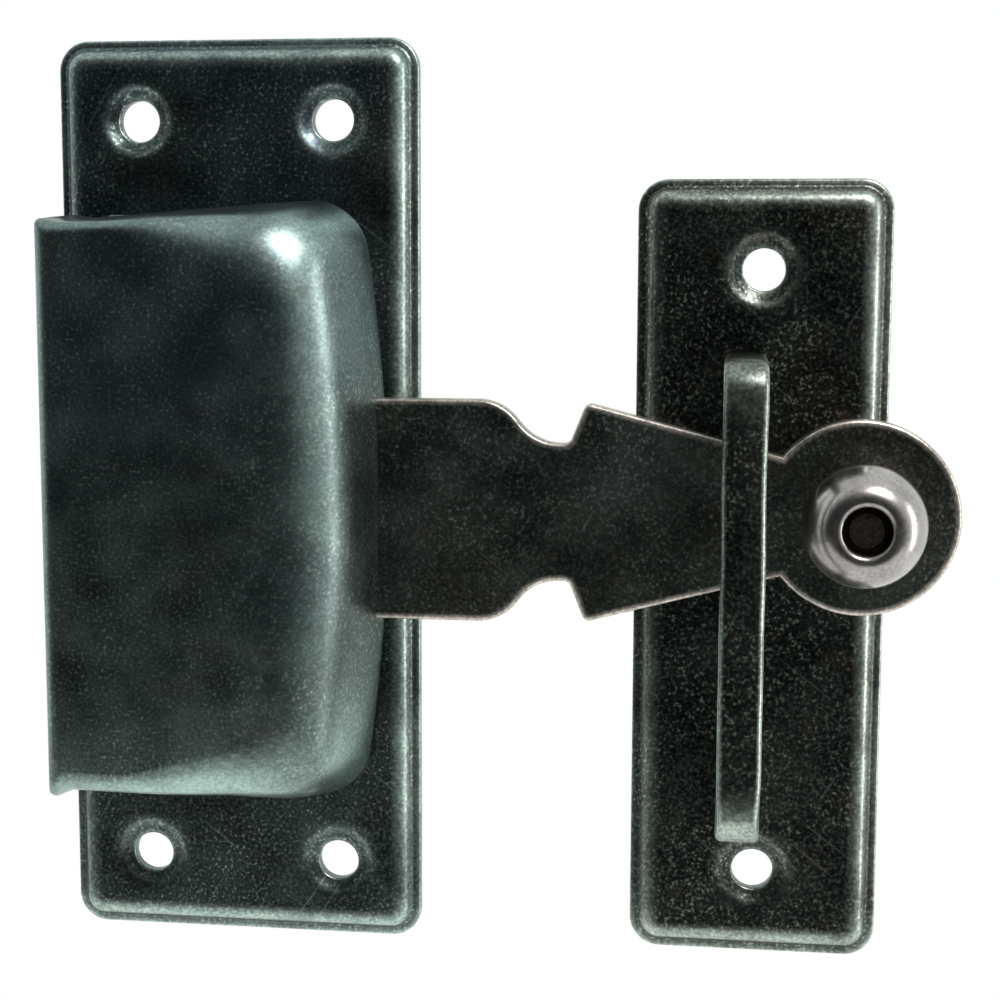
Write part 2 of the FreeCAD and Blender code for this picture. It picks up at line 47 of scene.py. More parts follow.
# Sheet metal work. Sizes are in millimetres: x along the bolt, z up, and height away from the
# wall, which is minus y. Each piece's wear attribute holds both wear and painted highlight: it is
# 0 where the dark finish is whole and 1 where bright steel shows, both where handling has rubbed
# it through and where a highlight or reflection is painted on shoulders, rounded edges and corners.


def smooth(low, high, value):
    """A soft step from 0 at low to 1 at high."""
    share = min(max((value - low) / (high - low), 0.0), 1.0)
    return share * share * (3.0 - 2.0 * share)


def mix(a, b, share):
    return a + (b - a) * share


def box_mm(node):
    """A CAD node's (lowest, highest) corner as (x, height, z) in millimetres."""
    low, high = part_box(node)
    return (
        Vector((low.x, -high.y, low.z)) / MM,
        Vector((high.x, -low.y, high.z)) / MM,
    )


def lay_grid(columns, rows, place, keep=None):
    """A sheet of quads. place(column, row) gives ((x, height, z), wear and painted highlight) for
    each vertex.
    """
    sheet = bmesh.new()
    wear_and_highlight_layer = sheet.verts.layers.float.new("wear")
    last_column, last_row = len(columns) - 1, len(rows) - 1
    bmesh.ops.create_grid(sheet, x_segments=last_column, y_segments=last_row, size=0.5)
    index = {}
    for vertex in sheet.verts:
        i = round((vertex.co.x + 0.5) * last_column)
        j = round((vertex.co.y + 0.5) * last_row)
        index[vertex] = (i, j)
    if keep:
        dropped = []
        for face in sheet.faces:
            ends = [index[vertex] for vertex in face.verts]
            i = min(end[0] for end in ends)
            j = min(end[1] for end in ends)
            if not keep(i, j):
                dropped.append(face)
        bmesh.ops.delete(sheet, geom=dropped, context="FACES")
    for vertex in sheet.verts:
        i, j = index[vertex]
        (x, height, z), wear = place(columns[i], rows[j])
        vertex.co = Vector((x, -height, z))
        vertex[wear_and_highlight_layer] = wear
    return sheet


def finish_piece(sheet, name, body, nodes=(), flat=False):
    """Turn a bmesh in millimetres into a named piece in metres, riding on its body."""
    bmesh.ops.scale(sheet, vec=Vector((MM, MM, MM)), verts=sheet.verts)
    mesh = bpy.data.meshes.new(name)
    sheet.to_mesh(mesh)
    sheet.free()
    for polygon in mesh.polygons:
        polygon.use_smooth = not flat
    piece = bpy.data.objects.new(name, mesh)
    bpy.context.scene.collection.objects.link(piece)
    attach(piece, body)
    if nodes:
        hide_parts(*nodes)
    return piece


def join_sheets(first, second, distance=0.002):
    """Put two sheets in one bmesh and weld the vertices that coincide."""
    carrier = bpy.data.meshes.new("carrier")
    second.to_mesh(carrier)
    second.free()
    first.from_mesh(carrier)
    bpy.data.meshes.remove(carrier)
    bmesh.ops.remove_doubles(first, verts=first.verts, dist=distance)
    return first


def stations(low, high, features, spacing):
    """Grid lines from low to high: those of each feature, and even ones between them."""
    lines = [low]
    for start, inner, end in sorted(features):
        lines += spread(lines[-1], start, spacing)
        lines += inner
        lines.append(end)
    lines += spread(lines[-1], high, spacing)
    return lines


def spread(start, end, spacing):
    """Even steps after start, up to and with end."""
    count = max(1, math.ceil((end - start) / spacing - 0.001))
    return [start + (end - start) * step / count for step in range(1, count + 1)]


# Pressed plates ------------------------------------------------------------------------------

SHEET = 1.2
PLATE_CORNER = 3.2
FIELD = 2.6
HOLE = 2.2
# The press profile from the edge inwards: run from the edge, height, wear. The wear column also
# paints the highlight on the rounded shoulder.
FRONT_PROFILE = [
    (0.00, 0.60, 0.9),
    (0.00, 0.98, 1.0),
    (0.07, 1.14, 1.0),
    (0.24, 1.20, 0.7),
    (0.62, 1.20, 0.25),
    (0.84, 1.25, 0.10),
    (1.02, 1.45, 0.20),
    (1.25, 1.87, 0.45),
    (1.50, 2.20, 0.85),
    (1.82, 2.43, 1.0),
    (2.25, 2.56, 0.75),
    (2.75, 2.60, 0.30),
]
BACK_PROFILE = [
    (0.00, 0.60, 0.9),
    (0.00, 0.20, 0.8),
    (0.05, 0.06, 0.6),
    (0.20, 0.00, 0.4),
    (0.85, 0.00, 0.2),
    (1.15, 0.05, 0.1),
    (1.40, 0.22, 0.0),
    (1.65, 0.62, 0.0),
    (1.90, 1.02, 0.0),
    (2.20, 1.28, 0.0),
    (2.55, 1.38, 0.0),
    (2.90, 1.40, 0.0),
]
# A screw hole's dimple from the hole outwards: radius, depth, wear. The wear column holds wear at
# the hole's edge and a painted highlight round the dimple's rim.
DIMPLE = [
    (2.20, 0.74, 0.55),
    (2.36, 0.70, 0.30),
    (2.65, 0.60, 0.05),
    (3.00, 0.42, 0.00),
    (3.35, 0.22, 0.12),
    (3.70, 0.07, 0.22),
    (4.10, 0.01, 0.08),
    (4.80, 0.00, 0.00),
]
HOLE_STEPS = 5
SQUARE_REACH = 5.3


def dimple_lines(centre):
    """(start, inner lines, end) of the grid lines that make rings around a hole."""
    radii = [radius for radius, _, _ in DIMPLE]
    inside = [HOLE * step / HOLE_STEPS for step in range(-HOLE_STEPS + 1, HOLE_STEPS)]
    outwards = [-radius for radius in reversed(radii)] + inside + radii
    lines = [centre + offset for offset in outwards]
    return lines[0], lines[1:-1], lines[-1]


def along(profile, distance):
    """Depth and wear of the dimple at a distance from the hole's axis; the wear holds a painted
    highlight too.
    """
    if distance >= profile[-1][0]:
        return 0.0, 0.0
    for (r0, d0, w0), (r1, d1, w1) in zip(profile, profile[1:]):
        if distance <= r1:
            share = min(max((distance - r0) / (r1 - r0), 0.0), 1.0)
            return mix(d0, d1, share), mix(w0, w1, share)
    return 0.0, 0.0


def plate_sheet(profile, half_width, half_length, screws, seed, is_front):
    """The front or the back surface of a pressed plate, centred on x = 0, z = 0."""
    inner_x, inner_z = half_width - PLATE_CORNER, half_length - PLATE_CORNER
    x_features = [dimple_lines(x) for x in sorted({x for x, _ in screws})]
    z_features = [dimple_lines(z) for z in sorted({z for _, z in screws})]
    rings = len(profile)
    low = [("low", ring) for ring in range(rings)]
    high = [("high", ring) for ring in reversed(range(rings))]

    def lines(half, features):
        middle = stations(-half, half, features, 2.4)
        return low + [("mid", value) for value in middle] + high

    columns, rows = lines(inner_x, x_features), lines(inner_z, z_features)

    def ring_of(line):
        return line[1] if line[0] != "mid" else rings

    def on_edge(line, half, run):
        if line[0] == "mid":
            return line[1]
        return (half - run) * (1 if line[0] == "high" else -1)

    def place(column, row):
        ring = min(ring_of(column), ring_of(row))
        run, height, wear = profile[ring] if ring < rings else (PLATE_CORNER, FIELD, 0.0)
        if ring == rings:
            height = FIELD if is_front else FIELD - SHEET
            x, z = column[1], row[1]
        elif column[0] == "mid" or row[0] == "mid":
            x, z = on_edge(column, half_width, run), on_edge(row, half_length, run)
        else:
            steps = rings - ring
            radius = PLATE_CORNER - run
            quarter = math.pi / 4
            if ring_of(column) == ring:
                angle = quarter * (rings - ring_of(row)) / steps
            else:
                angle = 2 * quarter - quarter * (rings - ring_of(column)) / steps
            x = (inner_x + radius * math.cos(angle)) * (1 if column[0] == "high" else -1)
            z = (inner_z + radius * math.sin(angle)) * (1 if row[0] == "high" else -1)
            wear = min(1.0, wear * 1.25)
        for screw_x, screw_z in screws:
            across, up = x - screw_x, z - screw_z
            square = max(abs(across), abs(up))
            distance = math.hypot(across, up)
            if square < SQUARE_REACH and distance > 0:
                ringed = mix(square, distance, smooth(4.3, SQUARE_REACH, square))
                x, z = screw_x + across * ringed / distance, screw_z + up * ringed / distance
                depth, rubbed_and_highlit = along(DIMPLE, ringed)
                height -= depth
                wear = max(wear, rubbed_and_highlit if is_front else 0.0)
        # Painted reflection and highlight: the shoulders keep full brightness along the foot, which
        # faces the bright floor, most of it on the right, about two thirds at the head, and 0.38
        # elsewhere.
        if ring < rings and is_front:
            right = smooth(-0.3, 0.8, x / half_width) * smooth(-0.9, -0.7, z / half_length)
            foot = 1.0 - smooth(2.5, 6.0, half_length + z)
            head = 0.5 * (1.0 - smooth(2.5, 6.0, half_length - z))
            wear *= mix(0.38, 1.0, max(right * 0.8, foot, head))
        inward = smooth(0.0, 6.0, min(half_width - abs(x), half_length - abs(z)))
        height += 0.06 * inward * noise.noise(Vector((x * 0.08, z * 0.06, seed)))
        return (x, height, z), wear

    def keep(i, j):
        corners = (columns[i], columns[i + 1], rows[j], rows[j + 1])
        if any(line[0] != "mid" for line in corners):
            return True
        x = (columns[i][1] + columns[i + 1][1]) / 2
        z = (rows[j][1] + rows[j + 1][1]) / 2
        return all(max(abs(x - sx), abs(z - sz)) > HOLE for sx, sz in screws)

    return lay_grid(columns, rows, place, keep)


def make_plate(name, node, screws, seed):
    low, high = box_mm(node)
    half_width, half_length = (high.x - low.x) / 2, (high.z - low.z) / 2
    centre = Vector(((low.x + high.x) / 2, 0, (low.z + high.z) / 2))
    local = [(x - centre.x, z - centre.z) for x, z in screws]
    front = plate_sheet(FRONT_PROFILE, half_width, half_length, local, seed, True)
    back = plate_sheet(BACK_PROFILE, half_width, half_length, local, seed, False)
    plate = join_sheets(front, back)
    for x, z in local:
        rim = [
            edge for edge in plate.edges
            if edge.is_boundary and all(math.hypot(v.co.x - x, v.co.z - z) < 3 for v in edge.verts)
        ]
        bmesh.ops.bridge_loops(plate, edges=rim)
    bmesh.ops.recalc_face_normals(plate, faces=plate.faces)
    bmesh.ops.translate(plate, vec=centre, verts=plate.verts)
    return finish_piece(plate, name, "mounting", [node])


keeper_low, keeper_high = box_mm("keeper_plate")
keeper_middle = (keeper_low + keeper_high) / 2
HOUSING_SCREWS = [(x, z) for x in (-10.5, 10.5) for z in (-40.0, 40.0)]
KEEPER_SCREWS = [(keeper_middle.x, keeper_middle.z + z) for z in (-31.75, 31.75)]
housing_plate = make_plate("pressed_housing_plate", "housing_plate", HOUSING_SCREWS,
                           3.0)
keeper_plate = make_plate("pressed_keeper_plate", "keeper_plate", KEEPER_SCREWS,
                          11.0)

# Drawn cover ---------------------------------------------------------------------------------

COVER_SHEET = 1.1
COVER_FOOT = 3.3
COVER_TAPER = 1.3
COVER_BOW = 2.8
# Rings up a wall, as shares of its straight part, then those round its edge.
WALL_SHARES = (0.0, 0.05, 0.3, 0.6, 1.0)
FLANGE_SHARE = 0.912
FOLD_SHARES = (0.0, 0.3, 0.6, FLANGE_SHARE, 1.0)
EDGE_STEPS = 6
# How far a tab or a tenon stands behind its plate once it is upset, and points closer than
# MERGE_MM are one.
PEEN_HEIGHT = 0.8
MERGE_MM = 0.0001
COVER_RINGS = len(WALL_SHARES) + EDGE_STEPS
# Rubbing and painted highlight from the foot of a wall to the face: the high values round the top
# edge paint the highlight along it.
SIDE_WEAR_AND_HIGHLIGHT = (0.9, 0.40, 0.3, 0.45, 0.80, 1.0, 1.0, 1.0, 0.9, 0.4, 0.08)
NOSE_WEAR_AND_HIGHLIGHT = (1.0, 0.15, 0.06, 0.08, 0.16, 0.28, 0.42, 0.48, 0.36, 0.15, 0.04)

cover_low, cover_high = box_mm("housing_cover")
COVER_LEFT, COVER_RIGHT, COVER_FACE = cover_low.x, cover_high.x, cover_high.y
COVER_MIDDLE = (cover_low.z + cover_high.z) / 2
COVER_HALF = (cover_high.z - cover_low.z) / 2


def wall_ring(draft, edge, shares, ring):
    """How far in and how high one ring of a drawn wall lies."""
    rise = COVER_FACE - COVER_FOOT
    lean = math.atan2(draft, rise)
    straight = math.hypot(draft, rise) - edge * math.tan((math.pi / 2 - lean) / 2)
    up = straight * shares[min(ring, len(shares) - 1)]
    run, height = up * math.sin(lean), COVER_FOOT + up * math.cos(lean)
    if ring < len(shares):
        return run, height
    angle = mix(lean, math.pi / 2, (ring - len(shares) + 1) / EDGE_STEPS)
    run += edge * (math.cos(lean) - math.cos(angle))
    return run, height + edge * (math.sin(angle) - math.sin(lean))


def cover_place(column, row):
    """A vertex of the cover's outside, from a column and a row of its grid."""
    side_x = {"low": -1, "mid": 0, "high": 1}[column[0]]
    side_z = {"low": -1, "mid": 0, "high": 1}[row[0]]
    ring_x = column[1] if side_x else COVER_RINGS
    ring_z = row[1] if side_z else COVER_RINGS
    ring = min(ring_x, ring_z)
    level = min(ring, COVER_RINGS - 1)
    share = column[1] if side_x == 0 else (1.0 if side_x > 0 else 0.0)
    towards_nose = smooth(0.3, 1.0, share)

    nose = wall_ring(4.2, 8.0, WALL_SHARES, level)
    fold = wall_ring(0.0, 1.5, FOLD_SHARES, level)
    if side_z > 0:
        side = wall_ring(mix(0.8, 1.9, share), mix(1.3, 6.0, towards_nose), WALL_SHARES, level)
    else:
        side = wall_ring(mix(0.9, 1.9, share), mix(2.6, 6.0, towards_nose), WALL_SHARES, level)
    inner = wall_ring(1.9, 6.0, WALL_SHARES, level)
    nose_corner = mix(5.0, 5.6, level / (COVER_RINGS - 1))
    fold_corner = 0.7
    right, left = COVER_RIGHT - nose[0], COVER_LEFT + fold[0]
    half_right = COVER_HALF - (side if side_z else inner)[0]
    half_left = COVER_HALF - COVER_TAPER - (side if side_z else inner)[0]

    if ring == COVER_RINGS:
        left_end, right_end = left + fold_corner, right - nose_corner
        x = mix(left_end, right_end, column[1])
        reach = mix(half_left - fold_corner, half_right - nose_corner, column[1])
        z, height, wear = row[1] * reach, COVER_FACE, 0.0
    elif side_x == 0:
        x = mix(left + fold_corner, right - nose_corner, share)
        z, height = side_z * mix(half_left, half_right, share), side[1]
        # Painted reflection: the top wall gets 0.45 of the bottom wall's value, so the bottom,
        # facing the floor, reads lighter.
        wear = SIDE_WEAR_AND_HIGHLIGHT[ring] * (0.45 if side_z > 0 else 1.0)
    elif side_z == 0:
        corner, half = (nose_corner, half_right) if side_x > 0 else (fold_corner, half_left)
        x = right if side_x > 0 else left
        z, height = row[1] * (half - corner), (nose if side_x > 0 else fold)[1]
        wear = NOSE_WEAR_AND_HIGHLIGHT[ring]
    else:
        steps = COVER_RINGS - ring
        turn = (COVER_RINGS - ring_z) / (2 * steps)
        if ring_x != ring:
            turn = 1.0 - (COVER_RINGS - ring_x) / (2 * steps)
        corner, half = (nose_corner, half_right) if side_x > 0 else (fold_corner, half_left)
        angle = turn * math.pi / 2
        edge_x = right - corner if side_x > 0 else left + corner
        x = edge_x + side_x * corner * math.cos(angle)
        z = side_z * (half - corner + corner * math.sin(angle))
        height = mix((nose if side_x > 0 else fold)[1], side[1], turn)
        # Painted reflection: here too the top wall gets 0.45 of the bottom wall's value.
        wear = mix(NOSE_WEAR_AND_HIGHLIGHT[ring], SIDE_WEAR_AND_HIGHLIGHT[ring] * (0.45 if side_z > 0 else 1.0), turn)
    return bend_cover(x, height, z, wear)


def bend_cover(x, height, z, wear):
    """The bow of the nose, the flared feet, and the small dents and swells of hand work."""
    low_down = 1.0 - smooth(COVER_FOOT + 1.5, COVER_FACE - 1.0, height)
    x -= COVER_BOW * (z / COVER_HALF) ** 2 * smooth(-2.0, 14.0, x)
    if z < -26.0:
        z += low_down * (0.7 - 0.8 * smooth(2.0, 3.4, x))
        dent = math.exp(-((x - 7.6) / 3.0) ** 2 - ((height - 11.6) / 1.5) ** 2)
        z += 0.45 * dent
        z -= 0.75 * (1.0 - smooth(COVER_LEFT + 0.9, COVER_LEFT + 2.0, x))
    elif z > 26.0:
        z -= 0.55 * (1.0 - smooth(COVER_LEFT, 4.0, x))
        z += 0.4 * (1.0 - smooth(COVER_LEFT + 0.5, COVER_LEFT + 1.3, x))
    # Painted highlight: a bright patch on the nose's upper corner. The lower nose is made lighter,
    # and the wall values are faded low down on the right.
    painted_corner_highlight = 0.8 * math.exp(-((x - 9.5) / 4.5) ** 2 - ((z - 28.5) / 3.6) ** 2)
    lower_nose = 0.75 * math.exp(-((z + 27.0) / 8.0) ** 2) * smooth(9.0, 12.5, x)
    lower_right_fade = mix(1.0, 0.45, (1.0 - smooth(-14.0, 2.0, z)) * smooth(6.0, 9.0, x))
    wear = min(1.0, max(wear * lower_right_fade, painted_corner_highlight, lower_nose))
    on_face = smooth(COVER_FACE - 2.5, COVER_FACE, height)
    height -= 0.35 * on_face * smooth(2.0, 12.0, x)
    height += 0.10 * on_face * (noise.noise(Vector((x * 0.07, z * 0.05, 4.0))) - 0.5)
    return (x, height, z + COVER_MIDDLE), wear


def make_cover():
    """The drawn cover, open under a short flange at its left; its four tabs are made on their own.
    """
    ends = [("low", ring) for ring in range(COVER_RINGS)]
    far_ends = [("high", ring) for ring in reversed(range(COVER_RINGS))]
    columns = ends + [("mid", step / 16) for step in range(17)] + far_ends
    rows = ends + [("mid", step / 14 - 1.0) for step in range(29)] + far_ends
    opening_rings = FOLD_SHARES.index(FLANGE_SHARE)

    def keep(i, j):
        in_opening = i < opening_rings and rows[j][0] == "mid" and rows[j + 1][0] == "mid"
        return not in_opening or abs(rows[j][1] + rows[j + 1][1]) / 2 > 0.9

    cover = lay_grid(columns, rows, cover_place, keep)
    bmesh.ops.recalc_face_normals(cover, faces=cover.faces)
    if sum(face.normal.y * face.calc_area() for face in cover.faces) > 0:
        bmesh.ops.reverse_faces(cover, faces=cover.faces)
    piece = finish_piece(cover, "drawn_cover", "mounting", ["housing_cover"])
    wall = piece.modifiers.new("sheet", "SOLIDIFY")
    wall.thickness = COVER_SHEET * MM
    wall.offset = -1.0
    wall.use_even_offset = False
    rounding = piece.modifiers.new("cut_edge", "BEVEL")
    rounding.width = 0.28 * MM
    rounding.segments = 2
    rounding.limit_method = "ANGLE"
    rounding.angle_limit = math.radians(50)
    return piece


def rounded_block(low, high, radius, segments=2):
    """A block between two (x, height, z) corners with its edges rounded."""
    block = bmesh.new()
    wear_and_highlight_layer = block.verts.layers.float.new("wear")
    bmesh.ops.create_cube(block, size=1.0)
    size = Vector((high[0] - low[0], high[1] - low[1], high[2] - low[2]))
    middle = Vector(((low[0] + high[0]) / 2, -(low[1] + high[1]) / 2, (low[2] + high[2]) / 2))
    bmesh.ops.scale(block, vec=size, verts=block.verts)
    bmesh.ops.bevel(block, geom=block.edges, offset=radius, segments=segments, profile=0.5,
                    affect="EDGES", material=-1)
    bmesh.ops.translate(block, vec=middle, verts=block.verts)
    for vertex in block.verts:
        vertex[wear_and_highlight_layer] = 0.4
    return block


def make_cover_tabs():
    """The tabs that hold the cover: each runs through the plate and is upset behind it."""
    peen_front, peen_back = FIELD - SHEET, FIELD - SHEET - PEEN_HEIGHT
    slope = COVER_TAPER / (COVER_RIGHT - COVER_LEFT)
    tabs = None
    for x in (-11.0, 8.0):
        for side in (1, -1):
            z = COVER_MIDDLE + side * (COVER_HALF - 0.85 - slope * (COVER_RIGHT - x))
            shank = rounded_block((x - 2.5, peen_front - 0.2, z - 0.4),
                                  (x + 2.5, COVER_FOOT + 0.5, z + 0.4), 0.12)
            peen = rounded_block((x - 3.1, peen_back, z - 1.0), (x + 3.1, peen_front, z + 1.0), 0.35)
            both = join_sheets(shank, peen, MERGE_MM)
            tabs = join_sheets(tabs, both, MERGE_MM) if tabs else both
    return finish_piece(tabs, "cover_tabs", "mounting", [])


# Bolt ------------------------------------------------------------------------------------------

bar_low, bar_high = box_mm("latch_bar")
BAR_AXIS = -0.6
BAR_HALF = 11.7
CURVE_START, WAIST, WAIST_HALF = 26.2, 34.9, 7.2
SHOULDER_FOOT, SHOULDER_TIP, SHOULDER_HALF = 35.9, 37.6, 11.5
NECK_HALF = 6.2
NOTCH_RADIUS, TIP_RADIUS = 0.9, 0.8
DISC, DISC_RADIUS = 65.7, 10.1
SLOT_LEFT, SLOT_RIGHT, SLOT_HALF = -15.4, 13.9, 2.36
RIVET_HOLE = 1.5


def arc(centre_x, centre_z, radius, start, end, steps):
    """Points round an arc between two angles in degrees, both ends included."""
    points = []
    for step in range(steps + 1):
        angle = math.radians(mix(start, end, step / steps))
        points.append((centre_x + radius * math.cos(angle), centre_z + radius * math.sin(angle)))
    return points


def bar_outline():
    """Half of the bolt's outline, above its axis, with half of its slot and its rivet hole."""
    drop, run = BAR_HALF - WAIST_HALF, WAIST - CURVE_START
    radius = (run**2 + drop**2) / (4 * drop)
    sweep = math.degrees(math.asin(run / 2 / radius))
    meet = math.degrees(math.asin(NECK_HALF / DISC_RADIUS))
    neck_start = DISC - DISC_RADIUS * math.cos(math.radians(meet))
    rise = math.degrees(math.atan2(SHOULDER_HALF - WAIST_HALF, SHOULDER_TIP - SHOULDER_FOOT))
    fall = math.degrees(math.atan2(SHOULDER_HALF - NECK_HALF, neck_start - SHOULDER_TIP))
    notch_x = SHOULDER_FOOT - NOTCH_RADIUS * math.tan(math.radians(rise / 2))
    turn = math.radians((rise + fall) / 2)
    inward = math.radians((rise - fall) / 2 - 90)
    tip_reach = TIP_RADIUS / math.cos(turn)
    tip_x = SHOULDER_TIP + tip_reach * math.cos(inward)
    tip_z = SHOULDER_HALF + tip_reach * math.sin(inward)
    points = [(bar_low.x, 0.0), (bar_low.x, BAR_HALF)]
    points += arc(CURVE_START, BAR_HALF - radius, radius, 90, 90 - sweep, 9)
    points += arc(WAIST, WAIST_HALF + radius, radius, 270 - sweep, 270, 9)[1:]
    points += arc(notch_x, WAIST_HALF + NOTCH_RADIUS, NOTCH_RADIUS, 270, 270 + rise, 5)
    points += arc(tip_x, tip_z, TIP_RADIUS, 90 + rise, 90 - fall, 5)
    points += arc(DISC, 0.0, DISC_RADIUS, 180 - meet, 0, 36)
    points.append((DISC + RIVET_HOLE, 0.0))
    points += arc(DISC, 0.0, RIVET_HOLE, 0, 180, 12)[1:]
    points += [(SLOT_RIGHT, 0.0), (SLOT_RIGHT, SLOT_HALF), (SLOT_LEFT, SLOT_HALF), (SLOT_LEFT, 0.0)]
    return points


def make_bar():
    """The flat bolt, cut from plate and tumbled, so its edges are round and bright."""
    bar = bmesh.new()
    wear_and_highlight_layer = bar.verts.layers.float.new("wear")
    back, front = bar_low.y, bar_high.y
    corners = [bar.verts.new((x, -back, z)) for x, z in bar_outline()]
    blank = bar.faces.new(corners)
    pressed = bmesh.ops.extrude_face_region(bar, geom=[blank])["geom"]
    top = [item for item in pressed if isinstance(item, bmesh.types.BMVert)]
    bmesh.ops.translate(bar, vec=(0, back - front, 0), verts=top)
    split = [face for face in bar.faces if all(abs(v.co.z) < 0.001 for v in face.verts)]
    bmesh.ops.delete(bar, geom=split, context="FACES_ONLY")
    bmesh.ops.mirror(bar, geom=bar.verts[:] + bar.edges[:] + bar.faces[:], axis="Z",
                     merge_dist=0.001)
    bmesh.ops.recalc_face_normals(bar, faces=bar.faces)
    rims = [
        edge for edge in bar.edges
        if len(edge.link_faces) == 2 and edge.calc_face_angle() > 1.2
        and abs(edge.verts[0].co.y - edge.verts[1].co.y) < 0.001
    ]
    bmesh.ops.bevel(bar, geom=rims, offset=0.34, segments=3, profile=0.5, affect="EDGES",
                    material=-1, clamp_overlap=True)
    for vertex in bar.verts:
        vertex[wear_and_highlight_layer] = 1.0
    for side in (-1, 1):
        flats = [face for face in bar.faces if face.normal.y * side > 0.999]
        bmesh.ops.inset_region(bar, faces=flats, thickness=0.42, use_boundary=True,
                               use_even_offset=True)
        inside = {vertex for face in flats for vertex in face.verts}
        for vertex in inside:
            vertex[wear_and_highlight_layer] = 0.0
    bmesh.ops.translate(bar, vec=(0, 0, BAR_AXIS), verts=bar.verts)
    return finish_piece(bar, "bolt_bar", "bolt", ["latch_bar"])


# The knob: a waist under a full, rounded top, with the rivet set in a recess.
KNOB_HEIGHT = 10.4
KNOB_WAIST, KNOB_WAIST_HEIGHT = 3.6, 2.1
KNOB_BELLY, KNOB_BELLY_HEIGHT = 6.2, 5.5
KNOB_RIM, KNOB_RECESS, KNOB_RECESS_DEPTH = 3.0, 2.35, 1.9
SPIN_STEPS = 72


def spin_profile(profile, x, z, base):
    """A turned piece: its profile spun round an axis away from the wall, and closed."""
    turned = bmesh.new()
    wear_and_highlight_layer = turned.verts.layers.float.new("wear")
    line = []
    for radius, height, wear in profile:
        vertex = turned.verts.new((x + radius, -(base + height), z))
        vertex[wear_and_highlight_layer] = wear
        line.append(vertex)
    for start, end in zip(line, line[1:] + line[:1]):
        turned.edges.new((start, end))
    bmesh.ops.spin(turned, geom=turned.verts[:] + turned.edges[:], cent=(x, 0, z),
                   axis=(0, 1, 0), angle=2 * math.pi, steps=SPIN_STEPS, use_merge=True)
    bmesh.ops.remove_doubles(turned, verts=turned.verts, dist=0.0005)
    bmesh.ops.recalc_face_normals(turned, faces=turned.faces)
    return turned


def quarter(start, end, steps, lift=1.0):
    """A quarter of an ellipse from a point where it runs up to one where it runs across.
    lift under 1 makes it the other way about."""
    points = []
    for step in range(1, steps + 1):
        angle = math.pi / 2 * step / steps
        across, up = 1.0 - math.cos(angle), math.sin(angle)
        if lift < 1.0:
            across, up = math.sin(angle), 1.0 - math.cos(angle)
        points.append((mix(start[0], end[0], across), mix(start[1], end[1], up)))
    return points


def knob_profile():
    """The knob from its foot up: radius, height above the disc, and wear."""
    floor = KNOB_HEIGHT - KNOB_RECESS_DEPTH
    foot = [(RIVET_HOLE + 0.02, 0.0), (4.05, 0.0), (4.25, 0.06), (4.30, 0.25)]
    foot += [(4.12, 0.75), (3.78, 1.4), (KNOB_WAIST, KNOB_WAIST_HEIGHT)]
    belly = (KNOB_BELLY, KNOB_BELLY_HEIGHT)
    points = foot + [(3.68, 2.6), (4.05, 3.1), (4.7, 3.6), (5.4, 4.15), (5.95, 4.8), belly]
    points += quarter(belly, (KNOB_RIM, KNOB_HEIGHT), 14)
    points += quarter((KNOB_RIM, KNOB_HEIGHT), (KNOB_RECESS, KNOB_HEIGHT - 0.5), 5, lift=0.0)
    points += [(KNOB_RECESS - 0.1, floor + 0.1), (KNOB_RECESS - 0.3, floor)]
    points.append((RIVET_HOLE + 0.02, floor))
    profile = []
    for radius, height in points:
        bright = smooth(2.8, 5.0, height) * smooth(KNOB_RECESS - 0.1, KNOB_RECESS + 0.5, radius)
        profile.append((radius, height, bright))
    return profile


def make_knob():
    knob = spin_profile(knob_profile(), DISC, BAR_AXIS, bar_high.y)
    return finish_piece(knob, "turned_knob", "bolt", ["bar_knob"])


# Keeper staple -----------------------------------------------------------------------------------

staple_low, staple_high = box_mm("keeper_staple")
STAPLE_STRAP = 2.5
STAPLE_EDGE = 0.6
STAPLE_BEND = 3.0


def strap_section(width, depth, edge):
    """The strap's section: a flat bar with rounded edges, as (across, outwards)."""
    half, steps = width / 2 - edge, 3
    points = []
    for centre, out, start in ((half, depth - edge, 0), (-half, depth - edge, 90),
                               (-half, edge, 180), (half, edge, 270)):
        points += arc(centre, out, edge, start, start + 90, steps)
    return points


